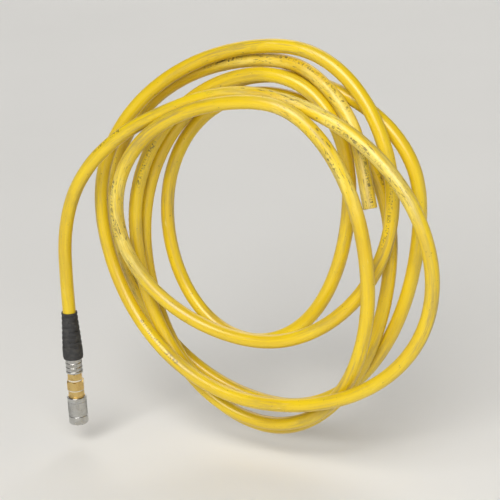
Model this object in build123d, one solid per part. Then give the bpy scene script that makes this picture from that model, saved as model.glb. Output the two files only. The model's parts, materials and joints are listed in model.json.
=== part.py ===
"""Coiled air hose with a quick-connect coupler, hung over a saddle on a wall.

Millimetres. +Z is up, +Y points into the wall and +X to the right of someone facing it.
The origin is the middle of the saddle that the coil hangs on, at the hose's lowest place there.
"""

import os
from math import cos, pi, radians, sin, tan

from build123d import *

# ---- Driving dimensions ----------------------------------------------------------------

# The hose: an extruded liner, a braid round it and an extruded cover.
HOSE_R = 8.0
BRAID_R = 6.9
LINER_R = 6.3
BORE_R = 5.0
CORNER_SHARE = 0.45

# The coil: one closed ring of oval sections, seen from the front. Each row is evenly spaced
# round the ring, clockwise from the top, and a section midway between two rows is added.
RING_CENTRE = (0.0, -160.0)
RING_LOFTS = 4
RING = [
    # inner r, outer r, front y, back y
    (158, 232, -50, 51),
    (148, 232, -48, 51),
    (116, 227, -43, 52),
    (88, 233, -42, 52),
    (82, 228, -41, 52),
    (92, 227, -40, 52),
    (102, 240, -39, 52),
    (112, 232, -37, 52),
    (126, 226, -35, 51),
    (138, 232, -37, 51),
    (143, 234, -41, 51),
    (149, 233, -47, 50),
]

# The cut end hangs free in a gap of the coil, on the right. Its route runs down from the coil.
CUT_ROUTE = [(107, 20.5, -7.5), (122, 15, -36), (139, 2, -104)]
CUT_LAYERS_LENGTH = 30.0
GAP_START = 8.0
GAP_WIDTH = 26.0
GAP_BEHIND = 13.0
GAP_FRONT = 75.0
GAP_BELOW = 62.0
GAP_LEAN = 0.25

# The coupler's tail leaves the front of the coil on the left and hangs down into the coupler.
COUPLER_X = -242.0
COUPLER_Y = -42.0
TAIL_ROUTE = [
    (-138, -27.5, -25),
    (-168, -33, -46),
    (-197, -39, -73),
    (-222, -44, -112),
    (-237, -46, -164),
    (COUPLER_X, COUPLER_Y, -222),
    (COUPLER_X, COUPLER_Y, -262),
]

# Heights of the pieces that grip the hose, from the top down.
GUARD_TOP = -262.0
FERRULE_TOP = -312.0
GUARD_BOTTOM = -322.0
HOSE_BOTTOM = -338.5
FERRULE_BOTTOM = -341.0
STEM_HEX_BOTTOM = -350.0
THREAD_BOTTOM = -360.0
COUPLER_TOP = -351.5

# Bend guard: a taper, then a straight root over the ferrule.
GUARD_BORE_R = 8.05
GUARD_TIP_R = 9.4
GUARD_ROOT_R = 12.4
GUARD_EDGE = 0.4
GUARD_ROOT_ABOVE = 2.0
GUARD_TAPER_ABOVE = 4.0
GUARD_GROOVES = 6
GUARD_GROOVE_WIDTH = 2.4
GUARD_GROOVE_DEPTH = 0.9
GUARD_GRIP_GAP = 0.05
GUARD_STEP_ABOVE = 0.5

# Ferrule.
FERRULE_R = 10.3
FERRULE_LIP_R = 5.6
CRIMP_BANDS = 3
CRIMP_FIRST = 2.0
CRIMP_PITCH = 5.6
CRIMP_WIDTH = 3.6
CRIMP_DEPTH = 0.7

# Hose stem: a barb inside the hose, a hexagon and a G 1/4 male thread.
STEM_BORE_R = 3.2
STEM_ABOVE = 2.0
BARB_ROOT_R = 4.7
BARB_R = 5.35
BARB_FIRST = 3.0
BARB_PITCH = 4.5
BARB_STEP = 1.0
BARB_COUNT = 5
NECK_R = 5.5
STEM_HEX_AF = 17.0
THREAD_R = 6.58
THREAD_CHAMFER = 1.0
WASHER_R = 9.0
WASHER_GAP = 0.1

# Hexagons are chamfered at both ends, from a circle a little smaller than the flats.
HEX_END_SHARE = 0.97
HEX_CHAMFER_ANGLE = 30.0
HEX_OVERLAP = 0.5

# Coupler. The distances below run down from its rear face, along its axis.
INLET_HEX_AF = 20.0
INLET_HEX_LENGTH = 12.0
INLET_BORE_R = 6.6
INLET_BORE_DEPTH = 10.0
PASSAGE_R = 5.8
SPIGOT_R = 7.5
WEB_TOP = 17.0
WEB_BOTTOM = 20.0
FLOW_HOLES = 6
FLOW_HOLE_R = 0.9
FLOW_PITCH_R = 4.75
GASKET_THICKNESS = 1.0
GASKET_GAP = 0.05
COLLAR_TOP = 20.0
COLLAR_BOTTOM = 24.0
COLLAR_R = 10.2
NECK_STEP = 0.4
BARREL_R = 8.6
CHAMBER_R = 7.0
SEAT_TOP = 36.0
SOCKET_R = 5.05
MOUTH_GUIDE_TOP = 51.0
MOUTH_GUIDE_R = 5.3
COUPLER_LENGTH = 57.5
MOUTH_CHAMFER = 0.8

# Valve.
VALVE_STEM_R = 1.9
VALVE_GUIDE_R = 2.0
VALVE_STEM_TOP = 17.5
VALVE_HEAD_TOP = 32.5
VALVE_HEAD_BOTTOM = 35.6
VALVE_HEAD_R = 6.4
VALVE_NOSE_R = 3.0
VALVE_NOSE_END = 41.0
VALVE_NOSE_CHAMFER = 1.0
VALVE_SEAL_R = 6.2
VALVE_SEAL_BOTTOM = 36.7

# Plug seal and locking balls.
PLUG_SEAL_AT = 43.2
PLUG_SEAL_WIRE_R = 0.8
PLUG_SEAL_RING_R = 5.15
PLUG_GROOVE_R = 6.0
PLUG_GROOVE_HALF = 1.0
BALL_COUNT = 6
BALL_R = 2.25
BALL_AT = 48.0
BALL_CENTRE_R = 6.42
BALL_HOLE_R = 2.3
BALL_LIP_R = 2.0
BALL_LIP_DEPTH_R = 5.3
BALL_TRAVEL = 0.9

# Locking sleeve, its spring and the ring that stops it.
SLEEVE_TRAVEL = 5.0
SLEEVE_R = 12.0
SLEEVE_TOP = 21.5
SLEEVE_BOTTOM = 57.0
POCKET_R = 10.45
LAND_TOP = 42.5
LAND_R = 8.73
RAMP_BOTTOM = 53.6
SHOULDER_AT = 54.0
SLEEVE_REAR_CHAMFER = 0.6
SLEEVE_NOSE_DEPTH = 0.8
SLEEVE_NOSE_LENGTH = 1.2
MOUTH_POCKET_R = 10.6
GRIP_FIRST = 6.0
GRIP_GROOVES = 7
GRIP_PITCH = 2.4
GRIP_DEPTH = 0.6
RING_TOP = 54.1
RING_BOTTOM = 55.1
RING_INNER_R = 8.1
RING_OUTER_R = 9.9
RING_GAP = 3.0

# Coil springs: wire radius, mean radius and number of turns.
SLEEVE_SPRING = (0.45, 9.5, 5.0)
VALVE_SPRING = (0.35, 3.6, 6.0)
SPRING_END_GAP = 0.1


# ---- Helpers ---------------------------------------------------------------------------

def save(name, shape):
    """Write one node as a STEP file named after it."""
    export_step(shape, f"parts/{name}.step")


def corner_radii(points):
    """Give each corner of a route the largest even arc that its two runs allow."""
    radii = []
    for before, corner, after in zip(points, points[1:], points[2:]):
        first = Vector(*corner) - Vector(*before)
        second = Vector(*after) - Vector(*corner)
        half_turn = radians(first.get_angle(second)) / 2
        radii.append(CORNER_SHARE * min(first.length, second.length) / tan(half_turn))
    return radii


def hose_run(name, points):
    """Sweep the hollow hose along straight runs joined by tangent arcs."""
    radii = corner_radii(points)
    path = FilletPolyline(*points, radius=radii)
    start = Plane(origin=path @ 0, z_dir=path % 0)
    section = start * (Circle(HOSE_R) - Circle(BORE_R))
    tube = sweep(section, path=path)
    expected = pi * (HOSE_R**2 - BORE_R**2) * path.length
    print(name, "radii", [round(radius) for radius in radii])
    print(name, "length", round(path.length, 1), "volume share", round(tube.volume / expected, 4))
    return tube


def on_axis(shape):
    """Move a shape from the Z axis to the coupler's axis."""
    return Pos(COUPLER_X, COUPLER_Y, 0) * shape


def down(distance):
    """Height of a place measured down from the coupler's rear face."""
    return COUPLER_TOP - distance


def turned(outline):
    """Turn a closed outline of (radius, height) points about the coupler's axis."""
    points = [(radius, 0, height) for radius, height in outline]
    return on_axis(revolve(make_face(Polyline(*points, close=True)), axis=Axis.Z))


def tube(inner, outer, top, bottom):
    """A plain ring between two heights on the coupler's axis."""
    return turned([(inner, top), (outer, top), (outer, bottom), (inner, bottom)])


def hexagon_ring(across_flats, inner, top, bottom):
    """A chamfered hexagon on the coupler's axis, hollow inside a radius."""
    end_r = across_flats / 2 * HEX_END_SHARE
    corner_r = across_flats / 2 / cos(radians(30)) + 1
    drop = (corner_r - end_r) * tan(radians(HEX_CHAMFER_ANGLE))
    envelope = turned([
        (inner, top),
        (end_r, top),
        (corner_r, top - drop),
        (corner_r, bottom + drop),
        (end_r, bottom),
        (inner, bottom),
    ])
    sketch = Pos(0, 0, bottom) * RegularPolygon(across_flats / 2, 6, major_radius=False)
    return on_axis(extrude(sketch, amount=top - bottom)) & envelope


def around(radius, count, shape):
    """Copies of a shape spaced evenly round the coupler's axis."""
    places = PolarLocations(radius, count)
    return [on_axis(place * shape) for place in places]


def spring(size, top, bottom):
    """A compression spring that just clears the faces above and below it."""
    wire_r, mean_r, turns = size
    low = bottom + wire_r + SPRING_END_GAP
    height = top - wire_r - SPRING_END_GAP - low
    path = Helix(pitch=height / turns, height=height, radius=mean_r)
    section = Plane(origin=path @ 0, z_dir=path % 0) * Circle(wire_r)
    return on_axis(Pos(0, 0, low) * sweep(section, path=path, is_frenet=True))


# ---- Hose ------------------------------------------------------------------------------

def midway(index, column):
    """A value of the ring midway between a row and the next, on a smooth closed curve."""
    rows = [RING[(index + step) % len(RING)][column] for step in (-1, 0, 1, 2)]
    return (9 * (rows[1] + rows[2]) - rows[0] - rows[3]) / 16


def ring_section(angle, inner, outer, front, back):
    """One oval section of the coil, square to the ring."""
    turn = radians(angle)
    middle = (inner + outer) / 2
    centre_x, centre_z = RING_CENTRE
    origin = (centre_x + middle * sin(turn), (front + back) / 2, centre_z + middle * cos(turn))
    plane = Plane(origin=origin, x_dir=(sin(turn), 0, cos(turn)), z_dir=(cos(turn), 0, -sin(turn)))
    return plane * Ellipse((outer - inner) / 2, (back - front) / 2)


def cut_end_gap():
    """The space in the coil round the hose's cut end, open to the front and below."""
    tip = Vector(*CUT_ROUTE[-1])
    along = (tip - Vector(*CUT_ROUTE[-2])).normalized()
    above = (tip - Vector(*CUT_ROUTE[0])).dot(along) - GAP_START
    plane = Plane(origin=tip - along * above, x_dir=(1, 0, GAP_LEAN), z_dir=along)
    size = (GAP_WIDTH, GAP_BEHIND + GAP_FRONT, above + GAP_BELOW)
    box = Box(*size, align=(Align.CENTER, Align.MIN, Align.MIN))
    return plane * Pos(0, -GAP_BEHIND, 0) * box


def coil():
    """The wound turns as one closed ring, with the gap where the cut end hangs."""
    rows = len(RING)
    step = 360 / rows
    sections = []
    for index, row in enumerate(RING):
        sections.append(ring_section(index * step, *row))
        between = [midway(index, column) for column in range(len(row))]
        sections.append(ring_section((index + 0.5) * step, *between))
    sections.append(ring_section(0, *RING[0]))
    reach = 2 * rows // RING_LOFTS
    ring = loft(sections[: reach + 1])
    for start in range(reach, 2 * rows, reach):
        ring += loft(sections[start : start + reach + 1])
    return ring - cut_end_gap()


def cut_end_layers():
    """The last stretch of the cut end as its three layers, open at the bore."""
    tip = Vector(*CUT_ROUTE[-1])
    along = (tip - Vector(*CUT_ROUTE[-2])).normalized()
    plane = Plane(origin=tip - along * CUT_LAYERS_LENGTH, z_dir=along)
    layers = {
        "cut_end_cover": (BRAID_R, HOSE_R),
        "cut_end_braid": (LINER_R, BRAID_R),
        "cut_end_liner": (BORE_R, LINER_R),
    }
    for name, (inner, outer) in layers.items():
        save(name, plane * extrude(Circle(outer) - Circle(inner), amount=CUT_LAYERS_LENGTH))


def cut_end_route():
    """The cut end's route, shortened by the stretch that is made as separate layers."""
    tip = Vector(*CUT_ROUTE[-1])
    along = (tip - Vector(*CUT_ROUTE[-2])).normalized()
    end = tip - along * CUT_LAYERS_LENGTH
    return CUT_ROUTE[:-1] + [(end.X, end.Y, end.Z)]


# ---- Hose fittings ---------------------------------------------------------------------

def bend_guard():
    """A tapered sleeve with grooves, so that it bends with the hose."""
    body = turned([
        (GUARD_BORE_R, GUARD_TOP),
        (GUARD_TIP_R, GUARD_TOP),
        (GUARD_ROOT_R - GUARD_EDGE, FERRULE_TOP + GUARD_TAPER_ABOVE),
        (GUARD_ROOT_R, FERRULE_TOP + GUARD_ROOT_ABOVE),
        (GUARD_ROOT_R, GUARD_BOTTOM),
        (FERRULE_R + GUARD_GRIP_GAP, GUARD_BOTTOM),
        (FERRULE_R + GUARD_GRIP_GAP, FERRULE_TOP + GUARD_STEP_ABOVE),
        (GUARD_BORE_R, FERRULE_TOP + GUARD_STEP_ABOVE),
    ])
    first = GUARD_TOP - GUARD_TAPER_ABOVE
    pitch = (first - FERRULE_TOP - GUARD_TAPER_ABOVE) / GUARD_GROOVES
    for index in range(GUARD_GROOVES):
        top = first - index * pitch
        share = (index + 0.5) / GUARD_GROOVES
        floor_r = GUARD_TIP_R + (GUARD_ROOT_R - GUARD_TIP_R) * share - GUARD_GROOVE_DEPTH
        body -= tube(floor_r, GUARD_ROOT_R + 1, top, top - GUARD_GROOVE_WIDTH)
    return body


def crimp_ferrule():
    """The metal shell that squeezes the hose onto the barb, with pressed bands."""
    shell = turned([
        (HOSE_R, FERRULE_TOP),
        (FERRULE_R, FERRULE_TOP),
        (FERRULE_R, FERRULE_BOTTOM),
        (FERRULE_LIP_R, FERRULE_BOTTOM),
        (FERRULE_LIP_R, HOSE_BOTTOM),
        (HOSE_R, HOSE_BOTTOM),
    ])
    for index in range(CRIMP_BANDS):
        top = GUARD_BOTTOM - CRIMP_FIRST - index * CRIMP_PITCH
        shell -= tube(FERRULE_R - CRIMP_DEPTH, FERRULE_R + 1, top, top - CRIMP_WIDTH)
    return shell


def hose_stem():
    """The barbed stem with its hexagon and male thread."""
    top = FERRULE_TOP - STEM_ABOVE
    outline = [(STEM_BORE_R, top), (BARB_ROOT_R, top)]
    for index in range(BARB_COUNT):
        start = FERRULE_TOP - BARB_FIRST - index * BARB_PITCH
        end = start - BARB_PITCH + BARB_STEP
        outline += [(BARB_ROOT_R, start), (BARB_R, end), (BARB_ROOT_R, end)]
    outline += [
        (BARB_ROOT_R, HOSE_BOTTOM),
        (NECK_R, HOSE_BOTTOM),
        (NECK_R, FERRULE_BOTTOM),
        (THREAD_R, FERRULE_BOTTOM),
        (THREAD_R, THREAD_BOTTOM + THREAD_CHAMFER),
        (THREAD_R - THREAD_CHAMFER, THREAD_BOTTOM),
        (STEM_BORE_R, THREAD_BOTTOM),
    ]
    inner = THREAD_R - HEX_OVERLAP
    return turned(outline) + hexagon_ring(STEM_HEX_AF, inner, FERRULE_BOTTOM, STEM_HEX_BOTTOM)


# ---- Coupler ---------------------------------------------------------------------------

def inlet_body():
    """The rear half: a hexagon with the female thread, and the web that guides the valve."""
    shell_r = SPIGOT_R + HEX_OVERLAP
    shell = turned([
        (INLET_BORE_R, down(0)),
        (shell_r, down(0)),
        (shell_r, down(INLET_HEX_LENGTH)),
        (SPIGOT_R, down(INLET_HEX_LENGTH)),
        (SPIGOT_R, down(WEB_BOTTOM)),
        (VALVE_GUIDE_R, down(WEB_BOTTOM)),
        (VALVE_GUIDE_R, down(WEB_TOP)),
        (PASSAGE_R, down(WEB_TOP)),
        (PASSAGE_R, down(INLET_BORE_DEPTH)),
        (INLET_BORE_R, down(INLET_BORE_DEPTH)),
    ])
    shell += hexagon_ring(INLET_HEX_AF, shell_r - HEX_OVERLAP / 2, down(0), down(INLET_HEX_LENGTH))
    web = WEB_BOTTOM - WEB_TOP
    hole = Pos(0, 0, down((WEB_TOP + WEB_BOTTOM) / 2)) * Cylinder(FLOW_HOLE_R, 2 * web)
    for copy in around(FLOW_PITCH_R, FLOW_HOLES, hole):
        shell -= copy
    return shell


def ball_hole():
    """One radial hole for a locking ball, narrowed at the bore so that the ball stays in."""
    outward = (Align.CENTER, Align.CENTER, Align.MIN)
    wide = Pos(0, 0, BALL_LIP_DEPTH_R) * Cylinder(BALL_HOLE_R, BARREL_R, align=outward)
    narrow = Pos(0, 0, SOCKET_R - 1) * Cylinder(BALL_LIP_R, BARREL_R, align=outward)
    return Pos(0, 0, down(BALL_AT)) * Rot(0, 90, 0) * (wide + narrow)


def socket_body():
    """The front half: valve chamber, valve seat, socket for the plug and holes for the balls."""
    rear = down(INLET_HEX_LENGTH + GASKET_THICKNESS)
    seat_bottom = SEAT_TOP + CHAMBER_R - SOCKET_R
    body = turned([
        (SPIGOT_R, rear),
        (COLLAR_R - NECK_STEP, rear),
        (COLLAR_R - NECK_STEP, down(COLLAR_TOP)),
        (COLLAR_R, down(COLLAR_TOP)),
        (COLLAR_R, down(COLLAR_BOTTOM)),
        (BARREL_R, down(COLLAR_BOTTOM)),
        (BARREL_R, down(RING_TOP)),
        (RING_INNER_R, down(RING_TOP)),
        (RING_INNER_R, down(RING_BOTTOM)),
        (BARREL_R, down(RING_BOTTOM)),
        (BARREL_R, down(COUPLER_LENGTH)),
        (MOUTH_GUIDE_R + MOUTH_CHAMFER, down(COUPLER_LENGTH)),
        (MOUTH_GUIDE_R, down(COUPLER_LENGTH - MOUTH_CHAMFER)),
        (MOUTH_GUIDE_R, down(MOUTH_GUIDE_TOP)),
        (SOCKET_R, down(MOUTH_GUIDE_TOP)),
        (SOCKET_R, down(PLUG_SEAL_AT + PLUG_GROOVE_HALF)),
        (PLUG_GROOVE_R, down(PLUG_SEAL_AT + PLUG_GROOVE_HALF)),
        (PLUG_GROOVE_R, down(PLUG_SEAL_AT - PLUG_GROOVE_HALF)),
        (SOCKET_R, down(PLUG_SEAL_AT - PLUG_GROOVE_HALF)),
        (SOCKET_R, down(seat_bottom)),
        (CHAMBER_R, down(SEAT_TOP)),
        (CHAMBER_R, down(WEB_BOTTOM)),
        (SPIGOT_R, down(WEB_BOTTOM)),
    ])
    for copy in around(0, BALL_COUNT, ball_hole()):
        body -= copy
    return body


def valve_poppet():
    """The valve: a guided stem, a head that carries the seal, and a nose that the plug pushes."""
    return turned([
        (0, down(VALVE_STEM_TOP)),
        (VALVE_STEM_R, down(VALVE_STEM_TOP)),
        (VALVE_STEM_R, down(VALVE_HEAD_TOP)),
        (VALVE_HEAD_R, down(VALVE_HEAD_TOP)),
        (VALVE_HEAD_R, down(VALVE_HEAD_BOTTOM)),
        (VALVE_NOSE_R, down(VALVE_HEAD_BOTTOM)),
        (VALVE_NOSE_R, down(VALVE_NOSE_END - VALVE_NOSE_CHAMFER)),
        (VALVE_NOSE_R - VALVE_NOSE_CHAMFER, down(VALVE_NOSE_END)),
        (0, down(VALVE_NOSE_END)),
    ])


def locking_sleeve():
    """The sleeve: spring pocket, land that holds the balls in, ramp, and pocket for the ring."""
    ramp_r = LAND_R + (RAMP_BOTTOM - BALL_AT) * BALL_TRAVEL / SLEEVE_TRAVEL
    sleeve = turned([
        (POCKET_R, down(SLEEVE_TOP)),
        (SLEEVE_R - SLEEVE_REAR_CHAMFER, down(SLEEVE_TOP)),
        (SLEEVE_R, down(SLEEVE_TOP + SLEEVE_REAR_CHAMFER)),
        (SLEEVE_R, down(SLEEVE_BOTTOM - SLEEVE_NOSE_LENGTH)),
        (SLEEVE_R - SLEEVE_NOSE_DEPTH, down(SLEEVE_BOTTOM)),
        (MOUTH_POCKET_R, down(SLEEVE_BOTTOM)),
        (MOUTH_POCKET_R, down(SHOULDER_AT)),
        (ramp_r, down(SHOULDER_AT)),
        (ramp_r, down(RAMP_BOTTOM)),
        (LAND_R, down(BALL_AT)),
        (LAND_R, down(LAND_TOP)),
        (POCKET_R, down(LAND_TOP)),
    ])
    for index in range(GRIP_GROOVES):
        top = down(SLEEVE_TOP + GRIP_FIRST + index * GRIP_PITCH)
        sleeve -= tube(SLEEVE_R - GRIP_DEPTH, SLEEVE_R + 1, top, top - GRIP_PITCH / 2)
    return sleeve


def retaining_ring():
    """The open ring that stops the sleeve."""
    ring = tube(RING_INNER_R, RING_OUTER_R, down(RING_TOP), down(RING_BOTTOM))
    opening = Pos(0, -RING_OUTER_R, down(RING_TOP)) * Box(RING_GAP, RING_OUTER_R, RING_OUTER_R)
    return ring - on_axis(opening)


def plug_seal():
    """The round seal in the socket's groove."""
    return on_axis(Pos(0, 0, down(PLUG_SEAL_AT)) * Torus(PLUG_SEAL_RING_R, PLUG_SEAL_WIRE_R))


# ---- Build -----------------------------------------------------------------------------

def build():
    """Write every node."""
    os.makedirs("parts", exist_ok=True)
    save("hose_coil", coil())
    save("cut_end_hose", hose_run("cut_end_hose", cut_end_route()))
    cut_end_layers()
    save("coupler_tail_hose", hose_run("coupler_tail_hose", TAIL_ROUTE))
    save("clamped_hose_end", tube(BORE_R, HOSE_R, GUARD_TOP, HOSE_BOTTOM))
    save("bend_guard", bend_guard())
    save("crimp_ferrule", crimp_ferrule())
    save("hose_stem", hose_stem())
    save("stem_washer", tube(THREAD_R + WASHER_GAP, WASHER_R, STEM_HEX_BOTTOM, COUPLER_TOP))
    save("inlet_body", inlet_body())
    gasket_heights = (down(INLET_HEX_LENGTH), down(INLET_HEX_LENGTH + GASKET_THICKNESS))
    save("body_gasket", tube(SPIGOT_R + GASKET_GAP, COLLAR_R - NECK_STEP, *gasket_heights))
    save("socket_body", socket_body())
    save("valve_poppet", valve_poppet())
    seal_heights = (down(VALVE_HEAD_BOTTOM), down(VALVE_SEAL_BOTTOM))
    save("valve_seal", tube(VALVE_NOSE_R, VALVE_SEAL_R, *seal_heights))
    save("valve_spring", spring(VALVE_SPRING, down(WEB_BOTTOM), down(VALVE_HEAD_TOP)))
    save("plug_seal", plug_seal())
    ball = Pos(0, 0, down(BALL_AT)) * Sphere(BALL_R)
    for index, copy in enumerate(around(BALL_CENTRE_R, BALL_COUNT, ball), start=1):
        save(f"locking_ball_{index}", copy)
    save("locking_sleeve", locking_sleeve())
    save("sleeve_spring", spring(SLEEVE_SPRING, down(COLLAR_BOTTOM), down(LAND_TOP)))
    save("retaining_ring", retaining_ring())


build()
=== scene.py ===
"""Looks of the coiled air hose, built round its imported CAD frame.

Metres. +Z is up, +Y points to the wall behind the coil, and the origin is the saddle it hangs on.
"""

import json
import math
import random

import bmesh
import bpy
from mathutils import Matrix, Vector, noise


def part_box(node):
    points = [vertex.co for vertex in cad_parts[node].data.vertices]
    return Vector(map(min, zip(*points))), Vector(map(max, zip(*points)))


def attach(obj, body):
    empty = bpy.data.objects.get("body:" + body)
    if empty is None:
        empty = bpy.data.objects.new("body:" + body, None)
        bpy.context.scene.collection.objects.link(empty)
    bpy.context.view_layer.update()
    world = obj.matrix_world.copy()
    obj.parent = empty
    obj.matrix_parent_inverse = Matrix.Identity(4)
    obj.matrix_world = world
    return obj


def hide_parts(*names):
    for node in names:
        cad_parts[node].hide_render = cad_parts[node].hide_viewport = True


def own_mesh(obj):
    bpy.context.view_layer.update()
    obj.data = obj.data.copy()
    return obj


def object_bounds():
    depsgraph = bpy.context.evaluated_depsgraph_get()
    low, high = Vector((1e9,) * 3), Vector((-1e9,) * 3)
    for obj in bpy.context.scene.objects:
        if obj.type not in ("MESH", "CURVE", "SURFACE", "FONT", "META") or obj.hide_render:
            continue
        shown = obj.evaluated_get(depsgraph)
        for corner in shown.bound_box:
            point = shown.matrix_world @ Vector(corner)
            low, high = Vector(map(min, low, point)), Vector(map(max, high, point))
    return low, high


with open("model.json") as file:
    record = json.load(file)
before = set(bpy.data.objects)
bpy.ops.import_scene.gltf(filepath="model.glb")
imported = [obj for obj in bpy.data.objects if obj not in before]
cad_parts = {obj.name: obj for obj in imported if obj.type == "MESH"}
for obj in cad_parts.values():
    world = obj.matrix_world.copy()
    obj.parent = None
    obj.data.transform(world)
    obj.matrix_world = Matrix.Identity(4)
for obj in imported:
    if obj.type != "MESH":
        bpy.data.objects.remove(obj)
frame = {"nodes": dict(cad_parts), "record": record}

CAD_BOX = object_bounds()
SLOTS = {part["node"]: part["material_slot"] for part in frame["record"]["subparts"]}
random.seed(7)

# ---- Hose dimensions -------------------------------------------------------------------

HOSE_R = 0.008
BRAID_R = 0.0069
LINER_R = 0.0063
BORE_R = 0.005
CUT_LAYERS_LENGTH = 0.030

# ---- The hose's route, from the cut end to the barb ---------------------------------------

CUT_ROUTE = [(0.107, 0.0205, -0.0075), (0.122, 0.015, -0.036), (0.139, 0.002, -0.104)]
CUT_RISE = [(0.084, 0.0245, 0.0195), (0.050, 0.032, 0.041)]

# Each turn passes over the saddle, down the left, across the bottom and up the right.
TURNS = [
    # crown, left, bottom, right
    [(0.012, 0.038, 0.047), (-0.221, 0.038, -0.148), (-0.005, 0.043, -0.380), (0.182, 0.043, -0.100)],
    [(0.010, 0.041, 0.029), (-0.166, 0.018, -0.182), (0.000, 0.010, -0.396), (0.148, 0.040, -0.150)],
    [(0.000, 0.041, 0.008), (-0.147, 0.042, -0.158), (-0.038, 0.034, -0.298), (0.109, 0.018, -0.075)],
    [(0.015, 0.022, 0.035), (-0.166, -0.001, -0.160), (0.000, -0.004, -0.384), (0.147, -0.024, -0.185)],
    [(0.035, -0.041, 0.018), (-0.173, -0.028, -0.135), (0.000, -0.018, -0.275), (0.159, 0.022, -0.100)],
    [(0.028, 0.031, 0.065), (-0.210, -0.004, -0.135), (0.005, -0.030, -0.346), (0.226, -0.033, -0.170)],
]
LAST_CROWN = (0.000, -0.022, 0.022)
TURN_PITCH = 0.048

TAIL_DROP = [(-0.050, -0.022, 0.013), (-0.097, -0.0235, -0.006)]
TAIL_ROUTE = [
    (-0.138, -0.0275, -0.025),
    (-0.168, -0.033, -0.046),
    (-0.197, -0.039, -0.073),
    (-0.222, -0.044, -0.112),
    (-0.237, -0.046, -0.164),
    (-0.242, -0.042, -0.222),
    (-0.242, -0.042, -0.262),
]
CLAMPED_END = (-0.242, -0.042, -0.3385)
HOSE_EXIT = (-0.242, -0.042, -0.312)
ROUTE_STEPS = 6


# ---- Camera ----------------------------------------------------------------------------

CAMERA_AZIMUTH = 28.6
CAMERA_ELEVATION = 18.7
CAMERA_ROLL = -2.7
CAMERA_DISTANCE = 1.72
CAMERA_LENS = 108.0


def make_camera():
    """The camera, at the angle from which the coil is seen."""
    azimuth, elevation = math.radians(CAMERA_AZIMUTH), math.radians(CAMERA_ELEVATION)
    back = Vector((
        math.sin(azimuth) * math.cos(elevation),
        -math.cos(azimuth) * math.cos(elevation),
        math.sin(elevation),
    ))
    aim = (CAD_BOX[0] + CAD_BOX[1]) / 2
    camera = bpy.data.objects.new("camera", bpy.data.cameras.new("camera"))
    bpy.context.scene.collection.objects.link(camera)
    look = (-back).to_track_quat("-Z", "Y").to_matrix().to_4x4()
    roll = Matrix.Rotation(math.radians(CAMERA_ROLL), 4, "Z")
    camera.matrix_world = Matrix.Translation(aim + back * CAMERA_DISTANCE) @ look @ roll
    camera.data.lens = CAMERA_LENS
    bpy.context.scene.camera = camera


# ---- Route -----------------------------------------------------------------------------

def quarter(start, end, leaves_level):
    """Points of a quarter of a turn, evenly spaced in angle, without its last point."""
    size = (abs(start[0] - end[0]) + abs(start[2] - end[2])) / 2
    count = max(3, round(math.pi / 2 * size / TURN_PITCH))
    points = []
    for index in range(count):
        share = index / count
        sine, cosine = math.sin(share * math.pi / 2), math.cos(share * math.pi / 2)
        if leaves_level:
            x = start[0] + (end[0] - start[0]) * sine
            z = end[2] + (start[2] - end[2]) * cosine
        else:
            x = end[0] + (start[0] - end[0]) * cosine
            z = start[2] + (end[2] - start[2]) * sine
        y = start[1] + (end[1] - start[1]) * (1 - math.cos(math.pi * share)) / 2
        points.append((x, y, z))
    return points


def hose_route():
    """Every control point of the hose, from its cut end to its clamped end."""
    points = CUT_ROUTE[::-1] + CUT_RISE
    crowns = [turn[0] for turn in TURNS[1:]] + [LAST_CROWN]
    for (crown, left, bottom, right), next_crown in zip(TURNS, crowns):
        points += quarter(crown, left, True)
        points += quarter(left, bottom, False)
        points += quarter(bottom, right, True)
        points += quarter(right, next_crown, False)
    return points + [LAST_CROWN] + TAIL_DROP + TAIL_ROUTE + [CLAMPED_END]


def spline_points(points):
    """The points of the smooth line that a NURBS spline draws from its control points."""
    curve = bpy.data.curves.new("hose_route", "CURVE")
    curve.dimensions = "3D"
    curve.resolution_u = ROUTE_STEPS
    spline = curve.splines.new("NURBS")
    spline.points.add(len(points) - 1)
    for point, place in zip(spline.points, points):
        point.co = (*place, 1)
    spline.order_u = 3
    spline.use_endpoint_u = True
    holder = bpy.data.objects.new("hose_route", curve)
    mesh = bpy.data.meshes.new_from_object(holder)
    line = [vertex.co.copy() for vertex in mesh.vertices]
    bpy.data.meshes.remove(mesh)
    bpy.data.objects.remove(holder)
    bpy.data.curves.remove(curve)
    return line


# ---- Mesh helpers ----------------------------------------------------------------------

def new_piece(name, mesh, *materials):
    """A smooth-shaded object for a finished mesh, with its faces turned outward."""
    shell = bmesh.new()
    shell.from_mesh(mesh)
    bmesh.ops.recalc_face_normals(shell, faces=shell.faces)
    shell.to_mesh(mesh)
    shell.free()
    piece = bpy.data.objects.new(name, mesh)
    bpy.context.scene.collection.objects.link(piece)
    for material in materials:
        mesh.materials.append(material)
    mesh.shade_smooth()
    return piece


def add_attribute(mesh, name, values):
    """Store one vector for each vertex, for a material to read."""
    attribute = mesh.attributes.new(name, "FLOAT_VECTOR", "POINT")
    attribute.data.foreach_set("vector", [number for value in values for number in value])


def ring_faces(rings, sides):
    """Quads between each ring of vertices and the next, the last one joined to the first."""
    faces = []
    for ring in range(rings):
        low, high = ring * sides, (ring + 1) % rings * sides
        for side in range(sides):
            after = (side + 1) % sides
            faces.append((low + side, low + after, high + after, high + side))
    return faces


# ---- Hose frame along the route ------------------------------------------------------------

# The side of the hose that its printed line is on, and how that line wanders round the hose.
FRONT = Vector((0.15, -0.85, 0.5))
TWIST_SWING = 0.60
TWIST_LENGTH = 0.797
TWIST_START = 0.151


def print_twist(distance):
    """How far the printed line has turned round the hose, some distance along."""
    return TWIST_SWING * math.sin(2 * math.pi * (distance / TWIST_LENGTH + TWIST_START))


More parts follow.
